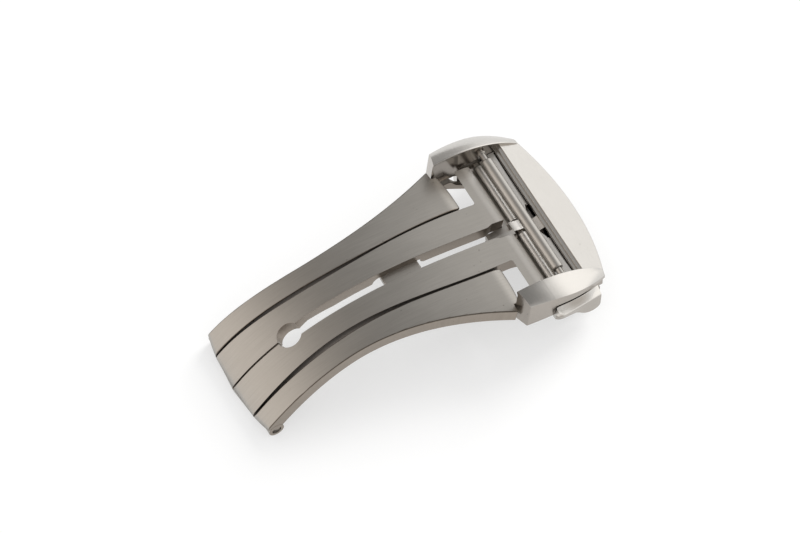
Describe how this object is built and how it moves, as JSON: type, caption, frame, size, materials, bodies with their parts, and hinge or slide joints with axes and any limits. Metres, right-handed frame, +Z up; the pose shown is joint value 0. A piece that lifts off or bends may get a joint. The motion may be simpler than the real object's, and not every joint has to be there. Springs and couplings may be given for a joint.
{
  "type": "deployant clasp",
  "caption": "Single-fold deployant clasp in satin steel for a watch strap: two hinged, fork-shaped blades, a sloping head with ears, a spring bar and side push buttons.",
  "frame": {"origin": "middle of the clasp's footprint, on the surface that it stands on when closed", "axes": "+X from the hinge end to the head, +Y across the strap, +Z up through the convex side"},
  "size_m": [0.043, 0.0244, 0.01],
  "materials": {
    "blade_steel": "brushed lengthwise",
    "head_steel": "fine satin",
    "pin_steel": "turned, satin",
    "spring_steel": "drawn wire"
  },
  "bodies": {
    "outer": {"outer_blade": "blade_steel", "catch_plate": "blade_steel", "end_hinge_pin": "pin_steel", "tail_bar_tube": "pin_steel", "tail_bar_spring": "spring_steel"},
    "inner": {"inner_blade": "blade_steel", "head_hinge_pin": "pin_steel"},
    "head": {"head_frame": "head_steel", "latch_housing": "blade_steel", "housing_screws": "pin_steel", "strap_bar_tube": "pin_steel", "strap_bar_spring": "spring_steel", "button_spring_near": "spring_steel", "button_spring_far": "spring_steel"},
    "strap_tip_n": {"strap_tip_near": "pin_steel"},
    "strap_tip_f": {"strap_tip_far": "pin_steel"},
    "tail_tip_n": {"tail_tip_near": "pin_steel"},
    "tail_tip_f": {"tail_tip_far": "pin_steel"},
    "pusher_n": {"button_near": "head_steel", "latch_hook_near": "blade_steel"},
    "pusher_f": {"button_far": "head_steel", "latch_hook_far": "blade_steel"}
  },
  "joints": [
    {"name": "end_hinge", "type": "hinge", "parent": "outer", "child": "inner", "pos_m": [-0.01982, 0, 0.00095], "axis": [0, -1, 0], "range_deg": [0, 165]},
    {"name": "head_hinge", "type": "hinge", "parent": "inner", "child": "head", "pos_m": [0.01445, 0, 0.00519], "axis": [0, -1, 0], "range_deg": [-99, 0]},
    {"name": "button_slide_near", "type": "slide", "parent": "head", "child": "pusher_n", "axis": [0, 1, 0], "range_m": [0, 0.00065], "stiffness_N_per_m": 800, "springref_m": -0.0006, "deforming": ["button_spring_near"]},
    {"name": "button_slide_far", "type": "slide", "parent": "head", "child": "pusher_f", "axis": [0, -1, 0], "range_m": [0, 0.00065], "stiffness_N_per_m": 800, "springref_m": -0.0006, "deforming": ["button_spring_far"]},
    {"name": "strap_tip_slide_near", "type": "slide", "parent": "head", "child": "strap_tip_n", "axis": [0, 1, 0], "range_m": [0, 0.0008], "stiffness_N_per_m": 500, "springref_m": -0.0008, "deforming": ["strap_bar_spring"]},
    {"name": "strap_tip_slide_far", "type": "slide", "parent": "head", "child": "strap_tip_f", "axis": [0, -1, 0], "range_m": [0, 0.0008], "stiffness_N_per_m": 500, "springref_m": -0.0008, "deforming": ["strap_bar_spring"]},
    {"name": "tail_tip_slide_near", "type": "slide", "parent": "outer", "child": "tail_tip_n", "axis": [0, 1, 0], "range_m": [0, 0.0008], "stiffness_N_per_m": 500, "springref_m": -0.0008, "deforming": ["tail_bar_spring"]},
    {"name": "tail_tip_slide_far", "type": "slide", "parent": "outer", "child": "tail_tip_f", "axis": [0, -1, 0], "range_m": [0, 0.0008], "stiffness_N_per_m": 500, "springref_m": -0.0008, "deforming": ["tail_bar_spring"]}
  ],
  "couplings": [
    {"joint": "head_hinge", "follows": "end_hinge", "ratio": -0.6}
  ]
}
